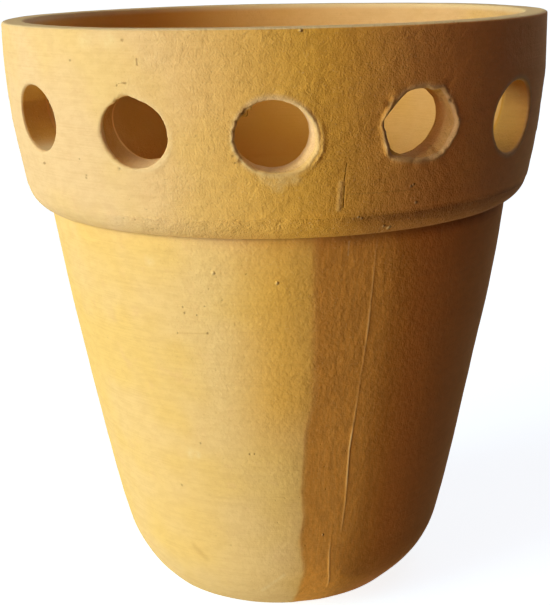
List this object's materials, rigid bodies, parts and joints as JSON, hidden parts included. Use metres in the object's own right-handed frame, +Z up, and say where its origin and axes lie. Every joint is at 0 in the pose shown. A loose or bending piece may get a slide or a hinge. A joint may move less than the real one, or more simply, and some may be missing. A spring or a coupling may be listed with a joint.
{
  "type": "pierced collar planter",
  "caption": "Unglazed terracotta planter: a tapered pot with a rounded heel, a drain hole and a deep collar with a row of nine round side holes.",
  "frame": {"origin": "centre of the flat foot, on the ground", "axes": "+Z up through the mouth; one side hole of the collar faces -Y"},
  "size_m": [0.24, 0.24, 0.263],
  "materials": {
    "clay_body": "fired unglazed clay, matt, fine sandy grain",
    "clay_collar": "fired unglazed clay, matt, turned, slightly paler"
  },
  "bodies": {
    "root": {"pot_body": "clay_body", "collar": "clay_collar"}
  },
  "joints": []
}
